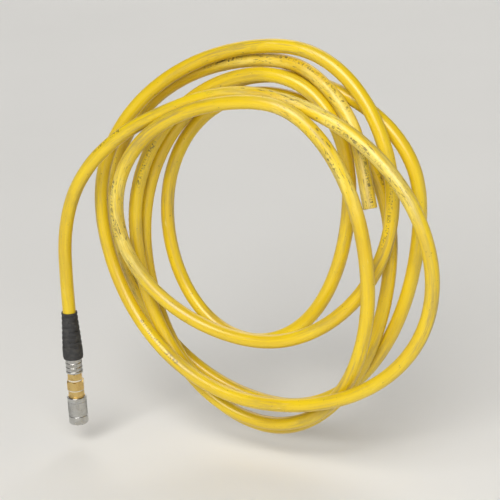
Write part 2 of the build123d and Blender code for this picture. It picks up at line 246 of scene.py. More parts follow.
class HoseLine:
    """The hose's centreline with, at each of its points, a direction square to it."""

    def __init__(self, points):
        self.points = points
        self.along = [0.0]
        for before, after in zip(points, points[1:]):
            self.along.append(self.along[-1] + (after - before).length)
        self.length = self.along[-1]
        self.tangents = []
        for index in range(len(points)):
            before, after = points[max(index - 1, 0)], points[min(index + 1, len(points) - 1)]
            self.tangents.append((after - before).normalized())

    def at(self, distance):
        """Place, direction and the two directions square to it, some distance along."""
        low, high = 0, len(self.along) - 1
        while high - low > 1:
            index = (low + high) // 2
            low, high = (index, high) if self.along[index] <= distance else (low, index)
        share = (distance - self.along[low]) / (self.along[high] - self.along[low])
        place = self.points[low].lerp(self.points[high], share)
        tangent = self.tangents[low].lerp(self.tangents[high], share).normalized()
        front = (FRONT - FRONT.dot(tangent) * tangent).normalized()
        front = Matrix.Rotation(print_twist(distance), 3, tangent) @ front
        return place, tangent, front, tangent.cross(front)


def loft(name, line, stations, sides, *materials):
    """A closed mesh through rings given as (distance along the line, radius).

    A distance before the line's start or past its end carries on straight.
    """
    places, texture = [], []
    for distance, radius in stations:
        inside = min(max(distance, 0.0), line.length)
        place, tangent, front, side = line.at(inside)
        place = place + tangent * (distance - inside)
        for index in range(sides):
            angle = 2 * math.pi * index / sides
            out = front * math.cos(angle) + side * math.sin(angle)
            places.append(place + out * radius)
            texture.append((radius * math.cos(angle), radius * math.sin(angle), distance))
    mesh = bpy.data.meshes.new(name)
    mesh.from_pydata(places, [], ring_faces(len(stations), sides))
    add_attribute(mesh, "hose_place", texture)
    mesh.validate()
    return new_piece(name, mesh, *materials)


# ---- Material helpers --------------------------------------------------------------------

def add(tree, kind, inputs=(), **settings):
    """Add a node; an input is a plain value or another node's output."""
    node = tree.nodes.new(kind)
    for key, value in settings.items():
        setattr(node, key, value)
    for key, value in dict(inputs).items():
        if isinstance(value, bpy.types.NodeSocket):
            tree.links.new(value, node.inputs[key])
        else:
            node.inputs[key].default_value = value
    return node


def calculate(tree, operation, first, *others):
    """Arithmetic on one, two or more values, from left to right."""
    result = first
    for value in others or (0.0,):
        result = add(tree, "ShaderNodeMath", {0: result, 1: value}, operation=operation).outputs[0]
    return result


def blotches(tree, place, scale, detail, roughness, stretch=(1, 1, 1)):
    """Noise from 0 to 1; stretch multiplies the coordinates along each axis."""
    scaled = add(tree, "ShaderNodeVectorMath", {0: place, 1: stretch}, operation="MULTIPLY")
    inputs = {"Vector": scaled.outputs[0], "Scale": scale, "Detail": detail, "Roughness": roughness}
    return add(tree, "ShaderNodeTexNoise", inputs).outputs["Fac"]


def between(tree, value, low, high, to_low=0.0, to_high=1.0):
    """Map a range of a value to another range, clamped."""
    inputs = {"Value": value, "From Min": low, "From Max": high, "To Min": to_low, "To Max": to_high}
    return add(tree, "ShaderNodeMapRange", inputs).outputs["Result"]


def blend_colours(tree, share, first, second):
    """Mix two colours, each a plain one or a node's output."""
    node = add(tree, "ShaderNodeMix", data_type="RGBA")
    for socket, value in ((0, share), (6, first), (7, second)):
        if isinstance(value, bpy.types.NodeSocket):
            tree.links.new(value, node.inputs[socket])
        elif socket == 0:
            node.inputs[0].default_value = value
        else:
            node.inputs[socket].default_value = (*value, 1.0)
    return node.outputs[2]


def layer(tree, under, amount, share, over):
    """Lay a colour over another by an amount from 0 to 1, and never by more than a share."""
    return blend_colours(tree, calculate(tree, "MULTIPLY", amount, share), under, over)


def new_material(name, **sockets):
    """A material and its shader, with the sockets that are the same all over set on it."""
    material = bpy.data.materials.new(name)
    material.use_nodes = True
    shader = material.node_tree.nodes["Principled BSDF"]
    for key, value in sockets.items():
        shader.inputs[key.replace("_", " ")].default_value = value
    return material, material.node_tree, shader


def finish_material(tree, shader, colour, roughness=None, height=None, depth=None):
    """Link what varies over the surface to the shader; depth is the height of the bumps."""
    tree.links.new(colour, shader.inputs["Base Color"])
    if roughness is not None:
        tree.links.new(roughness, shader.inputs["Roughness"])
    if height is not None:
        bump = add(tree, "ShaderNodeBump", {"Height": height, "Strength": 1.0, "Distance": depth})
        tree.links.new(bump.outputs[0], shader.inputs["Normal"])


# ---- Hose cover ------------------------------------------------------------------------

YELLOW = (0.76, 0.545, 0.006)
YELLOW_PALE = (0.82, 0.620, 0.020)
YELLOW_DEEP = (0.66, 0.440, 0.004)
# Cream chalk colour: partly chalky wear, partly a painted highlight.
CHALK_AND_PAINTED_SHEEN = (0.86, 0.74, 0.22)
RUBBED = (0.34, 0.245, 0.075)
GRIME = (0.20, 0.145, 0.045)
SMEAR = (0.10, 0.075, 0.03)
SPECK = (0.07, 0.05, 0.02)
SCUFF = (0.86, 0.76, 0.36)
INK = (0.030, 0.030, 0.024)
CUT_YELLOW = (0.78, 0.58, 0.09)
LINER_COLOUR = (0.66, 0.58, 0.34)

# The most that each kind of mark covers what is under it.
PALE_SHARE = 0.5
CHALK_AND_SHEEN_SHARE = 0.5
SMEAR_SHARE = 0.85
SPECK_SHARE = 0.8
INK_SHARE = 0.80
SCUFF_SHARE = 0.35
# How strong dirt is on a clean stretch and on a dirty one.
RUBBED_SHARES = (0.15, 0.80)
GRIME_SHARES = (0.15, 0.75)
# How dirty a chalky stretch counts as.
CHALKY_DIRT = 0.55

# Patterns over the hose.
MARKS = {
    # name: scale, detail, roughness, stretch along the hose, and the values where it fades in
    "tone": (14, 3, 0.55, 0.6, 0.35, 0.65),
    # cream chalk, partly a painted highlight
    "chalk_and_sheen": (90, 4, 0.65, 0.25, 0.42, 0.62),
    "dirty": (5.5, 2, 0.5, 1, 0.43, 0.62),
    "rubbed": (170, 5, 0.72, 0.07, 0.48, 0.62),
    "grime": (60, 6, 0.72, 0.35, 0.54, 0.80),
    "smears": (560, 4, 0.7, 0.16, 0.565, 0.60),
    "smear_groups": (75, 3, 0.6, 0.5, 0.46, 0.56),
    "specks": (430, 3, 0.6, 0.6, 0.695, 0.72),
    "scuffs": (260, 5, 0.75, 0.12, 0.62, 0.72),
    "dashes": (330, 0, 0.5, 1, 0.44, 0.47),
    "strokes": (520, 1, 0.5, 0.75, 0.44, 0.49),
    "rails": (38, 1, 0.5, 1, 0.50, 0.53),
    "ink_left": (300, 4, 0.75, 0.35, 0.40, 0.58),
}
STREAKS = (420, 2, 0.6, (1, 1, 0.03))
STREAKS_SEEN = (0.50, 0.75)
GRAIN = (900, 2, 0.5, (1, 1, 0.5))

# The middle and half the length of each stretch where the printed line has survived.
PRINT_LEFT = [
    (0.030, 0.032), (0.160, 0.050), (0.278, 0.026), (0.900, 0.030), (1.905, 0.040), (2.470, 0.022),
    (3.100, 0.035), (3.745, 0.030), (4.560, 0.010), (4.935, 0.034), (5.445, 0.045), (6.210, 0.034),
    (6.850, 0.036), (7.180, 0.020),
]
PRINT_FADE = 0.006
# The same for where the hose has been rubbed dirty and chalky, and where a cream colour is painted on as a
# highlight.
DIRTY = [(0.110, 0.170), (0.590, 0.050), (4.575, 0.040), (4.965, 0.060), (6.880, 0.110)]
DIRTY_FADE = 0.060

# Cosines of the angle from the middle of the printed line to the ends of its edge, and to a rail.
PRINT_EDGE = (0.958, 0.967)
RAIL = 0.945
RAIL_HALF_WIDTH = (0.003, 0.006)

# Radii over which the liner turns to the cut face, and the cut face to the outside.
LINER_TO_CUT = (0.0060, 0.0061)
CUT_TO_COVER = (0.0076, 0.0077)

COVER_SPECULAR = 0.70
COVER_IOR = 1.5
COVER_ROUGHNESS = (0.31, 0.62)
CHALK_MATT = 0.35
STREAK_HEIGHT = 0.6
GRAIN_HEIGHT = 0.25
SCUFF_DEPTH = 0.3
COVER_BUMP = 0.00012


def mark(tree, place, name):
    """One of the patterns over the hose, from 0 where there is none of it to 1."""
    scale, detail, roughness, along, low, high = MARKS[name]
    return between(tree, blotches(tree, place, scale, detail, roughness, (1, 1, along)), low, high)


def stretches(tree, along, middles_and_halves, fade):
    """1 along the given stretches of the hose, and 0 elsewhere."""
    share = 0.0
    for middle, half in middles_and_halves:
        away = calculate(tree, "ABSOLUTE", calculate(tree, "SUBTRACT", along, middle))
        share = calculate(tree, "MAXIMUM", share, between(tree, away, half, half + fade, 1.0, 0.0))
    return share


def printed_line(tree, place, facing, along):
    """What is left of a line of small broken marks and the rails beside it; it spells nothing."""
    only_along = add(tree, "ShaderNodeCombineXYZ", {2: along}).outputs[0]
    dashes, strokes = mark(tree, only_along, "dashes"), mark(tree, place, "strokes")
    marks = calculate(tree, "MULTIPLY", between(tree, facing, *PRINT_EDGE), dashes, strokes)
    from_rail = calculate(tree, "ABSOLUTE", calculate(tree, "SUBTRACT", facing, RAIL))
    rail = between(tree, from_rail, *RAIL_HALF_WIDTH, 1.0, 0.0)
    rails = calculate(tree, "MULTIPLY", rail, mark(tree, only_along, "rails"))
    left = stretches(tree, along, PRINT_LEFT, PRINT_FADE)
    printed = calculate(tree, "MAXIMUM", marks, rails)
    return calculate(tree, "MULTIPLY", printed, left, mark(tree, place, "ink_left"))


def hose_material():
    """Worn yellow PVC with rubbed-in dirt, specks, scuffs, cream chalk that is partly a painted highlight,
    and what is left of a printed line.
    """
    material, tree, shader = new_material("hose_cover", Specular_IOR_Level=COVER_SPECULAR, IOR=COVER_IOR)
    place = add(tree, "ShaderNodeAttribute", attribute_name="hose_place").outputs["Vector"]
    x, y, along = add(tree, "ShaderNodeSeparateXYZ", {0: place}).outputs
    x_squared, y_squared = calculate(tree, "MULTIPLY", x, x), calculate(tree, "MULTIPLY", y, y)
    radius = calculate(tree, "SQRT", calculate(tree, "ADD", x_squared, y_squared))

    streaks = blotches(tree, place, *STREAKS)
    scuffs = mark(tree, place, "scuffs")
    chalk_and_sheen_stretches = stretches(tree, along, DIRTY, DIRTY_FADE)
    dirty = calculate(tree, "MAXIMUM", mark(tree, place, "dirty"),
                      calculate(tree, "MULTIPLY", chalk_and_sheen_stretches, CHALKY_DIRT))
    chalk_and_sheen = calculate(tree, "MULTIPLY", mark(tree, place, "chalk_and_sheen"), chalk_and_sheen_stretches)
    rubbed = calculate(tree, "MULTIPLY", mark(tree, place, "rubbed"),
                       between(tree, dirty, 0.0, 1.0, *RUBBED_SHARES))
    grime = calculate(tree, "MULTIPLY", mark(tree, place, "grime"),
                      between(tree, dirty, 0.0, 1.0, *GRIME_SHARES))
    smears = calculate(tree, "MULTIPLY", mark(tree, place, "smears"),
                       mark(tree, place, "smear_groups"), chalk_and_sheen_stretches)
    ink = printed_line(tree, place, calculate(tree, "DIVIDE", x, radius), along)

    colour = blend_colours(tree, mark(tree, place, "tone"), YELLOW_DEEP, YELLOW)
    colour = layer(tree, colour, between(tree, streaks, *STREAKS_SEEN), PALE_SHARE, YELLOW_PALE)
    # Cream chalk on the dirty stretches: partly chalky wear, partly a painted highlight laid evenly all round
    # the hose.
    colour = layer(tree, colour, chalk_and_sheen, CHALK_AND_SHEEN_SHARE, CHALK_AND_PAINTED_SHEEN)
    colour = blend_colours(tree, rubbed, colour, RUBBED)
    colour = blend_colours(tree, grime, colour, GRIME)
    colour = layer(tree, colour, smears, SMEAR_SHARE, SMEAR)
    colour = layer(tree, colour, mark(tree, place, "specks"), SPECK_SHARE, SPECK)
    colour = layer(tree, colour, ink, INK_SHARE, INK)
    colour = layer(tree, colour, scuffs, SCUFF_SHARE, SCUFF)
    cut_face = blend_colours(tree, between(tree, radius, *LINER_TO_CUT), LINER_COLOUR, CUT_YELLOW)
    colour = blend_colours(tree, between(tree, radius, *CUT_TO_COVER), cut_face, colour)

    matt = calculate(tree, "ADD", grime, scuffs, calculate(tree, "MULTIPLY", chalk_and_sheen_stretches, CHALK_MATT))
    height = calculate(tree, "ADD", calculate(tree, "MULTIPLY", streaks, STREAK_HEIGHT),
                       calculate(tree, "MULTIPLY", blotches(tree, place, *GRAIN), GRAIN_HEIGHT))
    height = calculate(tree, "SUBTRACT", height, calculate(tree, "MULTIPLY", scuffs, SCUFF_DEPTH))
    finish_material(tree, shader, colour, between(tree, matt, 0.0, 1.0, *COVER_ROUGHNESS), height, COVER_BUMP)
    return material


# ---- Other materials -------------------------------------------------------------------

YARN_ROUGHNESS = 0.8
YARN_FIBRES = (2600, 3, 0.7)
YARN_SHADE = (0.52, 0.49, 0.38)
YARN_WHITE = (0.88, 0.86, 0.76)
YARN_BUMP = 0.0002

LINER_SHADE = (0.56, 0.48, 0.25)
LINER_CLOUD = (300, 4, 0.6)
LINER_CLOUD_SEEN = (0.3, 0.7)
LINER_ROUGHNESS = (0.38, 0.6)
LINER_GLOW = 0.15
LINER_GLOW_DEPTH = 0.002
LINER_BUMP = 0.0002

# Patterns on turned metal: scale, detail, roughness, and how far the scratches are drawn out.
LATHE_MARKS = (4200, 2, 0.6)
METAL_PATCHES = (110, 4, 0.6)
METAL_SPOTS = (620, 4, 0.7)
METAL_SCRATCHES = (900, 3, 0.8, (0.12, 1, 0.5))
METAL_DULLED = (0.40, 0.72)
METAL_ROUGHENED = (0.3, 0.75)
SPOTS_SEEN = (0.62, 0.74)
SCRATCHES_SEEN = (0.66, 0.72)
SPOT_SHARE = 0.5
SPOT_ROUGHNESS = 0.2
SCRATCH_DEPTH = 1.2
METAL_BUMP = 0.00003
METALS = {
    # finish: colour, dulled colour, stain, and its lowest and highest roughness
    "zinc_steel": ((0.54, 0.54, 0.53), (0.43, 0.42, 0.39), (0.22, 0.18, 0.12), 0.17, 0.34),
    "brass": ((0.76, 0.55, 0.22), (0.58, 0.40, 0.15), (0.24, 0.16, 0.07), 0.17, 0.36),
    "spring_steel": ((0.55, 0.56, 0.58), (0.33, 0.33, 0.34), (0.14, 0.11, 0.08), 0.22, 0.4),
    "ball_steel": ((0.74, 0.75, 0.77), (0.60, 0.61, 0.63), (0.35, 0.34, 0.33), 0.08, 0.2),
}

WORN_PATCHES = (130, 5, 0.7)
WORN_SEEN = (0.45, 0.75)
WORN_ROUGHENED = (0.3, 0.7)
WORN_SHARE = 0.8
MOULDED_DETAIL = (4, 0.7)
MOULDED = {
    # finish: colour, worn colour, its lowest and highest roughness, and its grain's scale and depth
    "guard_rubber": ((0.022, 0.022, 0.024), (0.085, 0.082, 0.075), 0.5, 0.75, 1500, 0.00012),
    "seal_nylon": ((0.72, 0.70, 0.62), (0.55, 0.52, 0.44), 0.4, 0.6, 900, 0.00008),
    "seal_rubber": ((0.018, 0.018, 0.018), (0.05, 0.05, 0.05), 0.35, 0.6, 1200, 0.00006),
}


def object_place(tree):
    """The place of a point on an object whose mesh lies where it belongs."""
    return add(tree, "ShaderNodeTexCoord").outputs["Object"]


def braid_material():
    """Off-white polyester yarn."""
    material, tree, shader = new_material("braid_yarn", Roughness=YARN_ROUGHNESS)
    fibres = blotches(tree, object_place(tree), *YARN_FIBRES)
    colour = blend_colours(tree, fibres, YARN_SHADE, YARN_WHITE)
    finish_material(tree, shader, colour, None, fibres, YARN_BUMP)
    return material


def liner_material():
    """Pale rubbery liner."""
    material, tree, shader = new_material("liner", Subsurface_Weight=LINER_GLOW,
                                          Subsurface_Scale=LINER_GLOW_DEPTH)
    cloud = blotches(tree, object_place(tree), *LINER_CLOUD)
    colour = blend_colours(tree, cloud, LINER_SHADE, LINER_COLOUR)
    rough = between(tree, cloud, *LINER_CLOUD_SEEN, *LINER_ROUGHNESS)
    finish_material(tree, shader, colour, rough, cloud, LINER_BUMP)
    return material


def axis_place(tree):
    """A place measured from the coupler's axis, and the same as distance from the axis and height."""
    centre = (HOSE_EXIT[0], HOSE_EXIT[1], 0.0)
    inputs = {0: object_place(tree), 1: centre}
    local = add(tree, "ShaderNodeVectorMath", inputs, operation="SUBTRACT").outputs[0]
    x, y, height = add(tree, "ShaderNodeSeparateXYZ", {0: local}).outputs
    flat = add(tree, "ShaderNodeCombineXYZ", {0: x, 1: y}).outputs[0]
    distance = add(tree, "ShaderNodeVectorMath", {0: flat}, operation="LENGTH").outputs["Value"]
    return local, add(tree, "ShaderNodeCombineXYZ", {0: distance, 2: height}).outputs[0]


def metal(name, colour, dull, stain, low, high):
    """Turned metal: lathe marks round the axis, dull patches, spots and small scratches."""
    material, tree, shader = new_material(name, Metallic=1.0)
    place, rings = axis_place(tree)
    patches = blotches(tree, place, *METAL_PATCHES)
    spots = between(tree, blotches(tree, place, *METAL_SPOTS), *SPOTS_SEEN)
    scratches = between(tree, blotches(tree, place, *METAL_SCRATCHES), *SCRATCHES_SEEN)
    tint = blend_colours(tree, between(tree, patches, *METAL_DULLED), colour, dull)
    tint = layer(tree, tint, spots, SPOT_SHARE, stain)
    rough = calculate(tree, "ADD", between(tree, patches, *METAL_ROUGHENED, low, high),
                      calculate(tree, "MULTIPLY", spots, SPOT_ROUGHNESS))
    height = calculate(tree, "SUBTRACT", blotches(tree, rings, *LATHE_MARKS),
                       calculate(tree, "MULTIPLY", scratches, SCRATCH_DEPTH))
    finish_material(tree, shader, tint, rough, height, METAL_BUMP)
    return material


def moulded(name, colour, worn, low, high, scale, depth):
    """Moulded rubber or plastic with a fine grain and paler worn patches."""
    material, tree, shader = new_material(name)
    place = object_place(tree)
    grain = blotches(tree, place, scale, *MOULDED_DETAIL)
    patches = blotches(tree, place, *WORN_PATCHES)
    tint = layer(tree, colour, between(tree, patches, *WORN_SEEN), WORN_SHARE, worn)
    finish_material(tree, shader, tint, between(tree, patches, *WORN_ROUGHENED, low, high), grain, depth)
    return material


MATERIALS = {"hose_cover": hose_material(), "hose_braid": braid_material(), "hose_liner": liner_material()}
MATERIALS.update((name, metal(name, *finish)) for name, finish in METALS.items())
MATERIALS.update((name, moulded(name, *finish)) for name, finish in MOULDED.items())


# ---- Hose ------------------------------------------------------------------------------

HOSE_SIDES = 32
# The rounded edge of the cover at the cut: distance along, radius.
CUT_EDGE = [(0.0, 0.0077), (0.00012, 0.0079), (0.0005, HOSE_R)]
RIPPLE_DEPTH = 0.00006
RIPPLE_SCALE = 40
BORE_START = CUT_LAYERS_LENGTH + 0.002

BRAID_PROUD = 0.0001
BRAID_GAP = 0.00005
YARN_COUNT = 56
YARN_R = 0.00017
YARN_TIP_SHARE = 0.55
YARN_SIDES = 6
YARN_ROOT = 0.0004
YARN_JITTER = (-0.3, 0.3)
YARN_LEAN_ROUND = (-0.6, 0.6)
YARN_LEAN_OUT = (-0.35, 0.5)
YARN_LENGTH = (0.0007, 0.0019)

LINER_PROUD = 0.0002


def hose_piece(line):
    """The whole hose as one closed tube, open at its cut end, with its bore all the way."""
    outside = list(CUT_EDGE)
    for distance in line.along[1:-1]:
        ripple = RIPPLE_DEPTH * noise.noise(Vector((distance * RIPPLE_SCALE, 0, 0)))
        outside.append((distance, HOSE_R + ripple))
    outside.append((line.length, HOSE_R))
    inside = [(line.length, BORE_R)]
    inside += [(distance, BORE_R) for distance in reversed(line.along[:-1]) if distance > BORE_START]
    inside += [(CUT_LAYERS_LENGTH, BORE_R), (CUT_LAYERS_LENGTH, BRAID_R), (0.0, BRAID_R)]
    hose = loft("air_hose", line, outside + inside, HOSE_SIDES, MATERIALS["hose_cover"])
    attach(hose, "root")
    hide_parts("hose_coil", "cut_end_hose", "cut_end_cover", "coupler_tail_hose", "clamped_hose_end")
    return hose


def braid_piece(line):
    """The braid between cover and liner, with the ends of its yarns at the cut."""
    stations = [
        (-BRAID_PROUD, BRAID_R - BRAID_GAP),
        (CUT_LAYERS_LENGTH, BRAID_R - BRAID_GAP),
        (CUT_LAYERS_LENGTH, LINER_R + BRAID_GAP),
        (-BRAID_PROUD, LINER_R + BRAID_GAP),
    ]
    braid = loft("cut_end_braid_yarns", line, stations, HOSE_SIDES, MATERIALS["hose_braid"])
    mesh = bmesh.new()
    mesh.from_mesh(braid.data)
    place, tangent, front, side = line.at(0.0)
    for index in range(YARN_COUNT):
        angle = 2 * math.pi * (index + random.uniform(*YARN_JITTER)) / YARN_COUNT
        out = front * math.cos(angle) + side * math.sin(angle)
        across = tangent.cross(out)
        start = place + out * (BRAID_R + LINER_R) / 2 + tangent * YARN_ROOT
        lean = across * random.uniform(*YARN_LEAN_ROUND) + out * random.uniform(*YARN_LEAN_OUT)
        end = start + (lean - tangent).normalized() * random.uniform(*YARN_LENGTH)
        direction = (end - start).normalized()
        turn = direction.to_track_quat("Z", "Y").to_matrix().to_4x4()
        middle = Matrix.Translation((start + end) / 2) @ turn
        bmesh.ops.create_cone(mesh, cap_ends=True, segments=YARN_SIDES, radius1=YARN_R,
                              radius2=YARN_R * YARN_TIP_SHARE, depth=(end - start).length, matrix=middle)
    mesh.to_mesh(braid.data)
    mesh.free()
    braid.data.shade_smooth()
    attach(braid, "root")
    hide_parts("cut_end_braid")
    return braid


def liner_piece(line):
    """The liner at the cut end, standing a little proud of the cover."""
    stations = [
        (-LINER_PROUD, LINER_R - LINER_PROUD),
        (0.0, LINER_R),
        (CUT_LAYERS_LENGTH, LINER_R),
        (CUT_LAYERS_LENGTH, BORE_R),
        (0.0, BORE_R),
        (-LINER_PROUD, BORE_R + LINER_PROUD),
    ]
    liner = loft("cut_end_liner_tube", line, stations, HOSE_SIDES, MATERIALS["hose_liner"])
    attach(liner, "root")
    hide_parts("cut_end_liner")
    return liner


# ---- Turned pieces on the coupler's axis ---------------------------------------------------

ROUND_STEPS = 3
CORNER_SHARE = 0.3
SUPPORT = 1.5
TINY = 0.00001

GUARD_SIDES = 96
GUARD_ROUND = 0.0005
GUARD_BORE_R = 0.00805
GUARD_BORE_SKIN = 0.0002
GUARD_TIP_R = 0.0094
GUARD_BEAD = 0.0028
GUARD_BEAD_RISE = 0.0002
GUARD_BEAD_FOOT_RISE = 0.0003
GUARD_GROOVES = 7
GUARD_GROOVE_WIDTH = 0.0026
GUARD_GROOVE_DEPTH = 0.0012
GUARD_GROOVE_SLOPE = 0.0001
GUARD_BRIDGE_WIDTH = 0.42
GUARD_BRIDGE_SLOPE = 0.10
GUARD_MOULD_LINE = 0.00012
GUARD_MOULD_LINE_ANGLE = 0.01
GUARD_SHOULDER = 0.002
GUARD_LIP = 0.0022
GUARD_LIP_DEPTH = 0.0004
GUARD_LIP_SLOPE = 0.0003
GUARD_FERRULE_GAP = 0.00005
GUARD_FERRULE_END_GAP = 0.0005

FERRULE_SIDES = 112
FERRULE_ROUND = 0.0003
FERRULE_LIP_R = 0.0056
FERRULE_MOUTH = 0.0025
CRIMP_BANDS = 3
CRIMP_FIRST = 0.002
CRIMP_DEPTH = 0.0007
CRIMP_PITCH = 0.0056
CRIMP_WIDTH = 0.0036
CRIMP_SLOPE = 0.0006
CRIMP_JAWS = 8
CRIMP_RIDGE_WIDTH = 0.07
CRIMP_RIDGE_HEIGHT = 0.75

SLEEVE_ROUND = 0.00025
SLEEVE_POCKET_R = 0.01045
SLEEVE_LAND_R = 0.00873
SLEEVE_RAMP_R = 0.00974
SLEEVE_MOUTH_R = 0.0106
# Heights inside the sleeve, from its lower end.
SLEEVE_MOUTH_TOP = 0.003
SLEEVE_RAMP_START = 0.0034
SLEEVE_LAND_START = 0.009
SLEEVE_LAND_END = 0.0145
SLEEVE_CHAMFER = 0.0006
SLEEVE_NOSE = 0.0012
SLEEVE_NOSE_STEP = 0.0008
# The groove at each end of the knurl: how deep it is, and how far from the knurl it starts and ends.
SLEEVE_GROOVE = 0.0007
GROOVE_START = 0.0008
GROOVE_END = 0.0018
GROOVE_EDGE = 0.0020
# The knurl starts this far below the sleeve's top. Its rows are a step apart, and a diamond spans
# some of them.
KNURL_FROM = 0.0065
KNURL_ROWS = 28
KNURL_STEP = 0.000625
KNURL_COUNT = 30
KNURL_DEPTH = 0.00065
KNURL_SAMPLES = 4
KNURL_PHASE = 0.001


def soften(outline, size):
    """The closed outline with each corner rounded, and a support point beside each round."""
    points = []
    for index, place in enumerate(outline):
        corner = Vector(place)
        back = Vector(outline[index - 1]) - corner
        ahead = Vector(outline[(index + 1) % len(outline)]) - corner
        start = back.normalized() * min(size, CORNER_SHARE * back.length)
        end = ahead.normalized() * min(size, CORNER_SHARE * ahead.length)
        points.append(corner + start * SUPPORT)
        for step in range(ROUND_STEPS + 1):
            share = step / ROUND_STEPS
            points.append(corner + start * (1 - share) ** 2 + end * share ** 2)
        points.append(corner + end * SUPPORT)
    return points


def lathe(name, node, body, outline, sides, relief=None):
    """A closed turned piece that stands for a CAD node; relief adds to its radius."""
    low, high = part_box(node)
    axis = (Vector(low) + Vector(high)) / 2
    places = []
    for radius, height in outline:
        for index in range(sides):
            angle = 2 * math.pi * index / sides
            reach = radius + (relief(radius, angle, height) if relief else 0.0)
            places.append((axis.x + reach * math.cos(angle), axis.y + reach * math.sin(angle), height))
    mesh = bpy.data.meshes.new(name)
    mesh.from_pydata(places, [], ring_faces(len(outline), sides))
    piece = new_piece(name, mesh, MATERIALS[SLOTS[node]])
    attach(piece, body)
    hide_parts(node)
    return piece


def bend_guard_piece():
    """The rubber guard: a beaded tip, a taper of slotted grooves and a smooth root."""
    low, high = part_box("bend_guard")
    top, bottom, root_r = high[2], low[2], (high[0] - low[0]) / 2
    ferrule_low, ferrule_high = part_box("crimp_ferrule")
    ferrule_top, ferrule_r = ferrule_high[2], (ferrule_high[0] - ferrule_low[0]) / 2
    taper_end = ferrule_top + GUARD_SHOULDER
    first = top - GUARD_BEAD
    pitch = (first - taper_end) / GUARD_GROOVES

    def taper(height):
        return GUARD_TIP_R + (root_r - GUARD_TIP_R) * (top - height) / (top - taper_end)

    outline = [
        (GUARD_BORE_R, top),
        (GUARD_TIP_R + GUARD_BEAD_RISE, top),
        (taper(first) + GUARD_BEAD_FOOT_RISE, first),
    ]
    for index in range(GUARD_GROOVES):
        start = first - index * pitch
        end = start - GUARD_GROOVE_WIDTH
        outline += [
            (taper(start) - GUARD_GROOVE_DEPTH, start - GUARD_GROOVE_SLOPE),
            (taper(end) - GUARD_GROOVE_DEPTH, end + GUARD_GROOVE_SLOPE),
            (taper(end), end),
        ]
        if index < GUARD_GROOVES - 1:
            outline.append((taper(start - pitch), start - pitch))
    outline += [
        (root_r, taper_end),
        (root_r, bottom + GUARD_LIP),
        (root_r - GUARD_LIP_DEPTH, bottom + GUARD_LIP - GUARD_LIP_SLOPE),
        (root_r - GUARD_LIP_DEPTH, bottom),
        (ferrule_r + GUARD_FERRULE_GAP, bottom),
        (ferrule_r + GUARD_FERRULE_GAP, ferrule_top + GUARD_FERRULE_END_GAP),
        (GUARD_BORE_R, ferrule_top + GUARD_FERRULE_END_GAP),
    ]

    def relief(radius, angle, height):
        if radius < GUARD_BORE_R + GUARD_BORE_SKIN or height < taper_end:
            return 0.0
        groove = int((first - height) / pitch) if height < first else 0
        from_bridge = abs(math.sin(angle + groove * math.pi / 2))
        fill = min(1.0, max(0.0, (GUARD_BRIDGE_WIDTH - from_bridge) / GUARD_BRIDGE_SLOPE))
        missing = max(0.0, taper(height) - radius)
        on_mould_line = min(angle, abs(angle - math.pi)) < GUARD_MOULD_LINE_ANGLE
        return missing * fill + (GUARD_MOULD_LINE if on_mould_line else 0.0)

    return lathe("bend_guard_rubber", "bend_guard", "root", soften(outline, GUARD_ROUND), GUARD_SIDES, relief)


def ferrule_piece():
    """The crimped shell, with the ridges that the jaws leave between their marks."""
    low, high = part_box("crimp_ferrule")
    top, bottom, shell_r = high[2], low[2], (high[0] - low[0]) / 2
    guard_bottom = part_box("bend_guard")[0][2]
    outline = [(HOSE_R, top), (shell_r, top)]
    for index in range(CRIMP_BANDS):
        start = guard_bottom - CRIMP_FIRST - index * CRIMP_PITCH
        end = start - CRIMP_WIDTH
        outline += [
            (shell_r, start),
            (shell_r - CRIMP_DEPTH, start - CRIMP_SLOPE),
            (shell_r - CRIMP_DEPTH, end + CRIMP_SLOPE),
            (shell_r, end),
        ]
    outline += [
        (shell_r, bottom),
        (FERRULE_LIP_R, bottom),
        (FERRULE_LIP_R, bottom + FERRULE_MOUTH),
        (HOSE_R, bottom + FERRULE_MOUTH),
    ]

    def relief(radius, angle, height):
        if radius < shell_r - CRIMP_DEPTH - TINY:
            return 0.0
        turn = angle * CRIMP_JAWS / (2 * math.pi) % 1.0
        ridge = max(0.0, 1.0 - abs(turn - 0.5) / CRIMP_RIDGE_WIDTH)
        return (shell_r - radius) * CRIMP_RIDGE_HEIGHT * ridge

    rounded = soften(outline, FERRULE_ROUND)
    return lathe("crimp_ferrule_shell", "crimp_ferrule", "root", rounded, FERRULE_SIDES, relief)


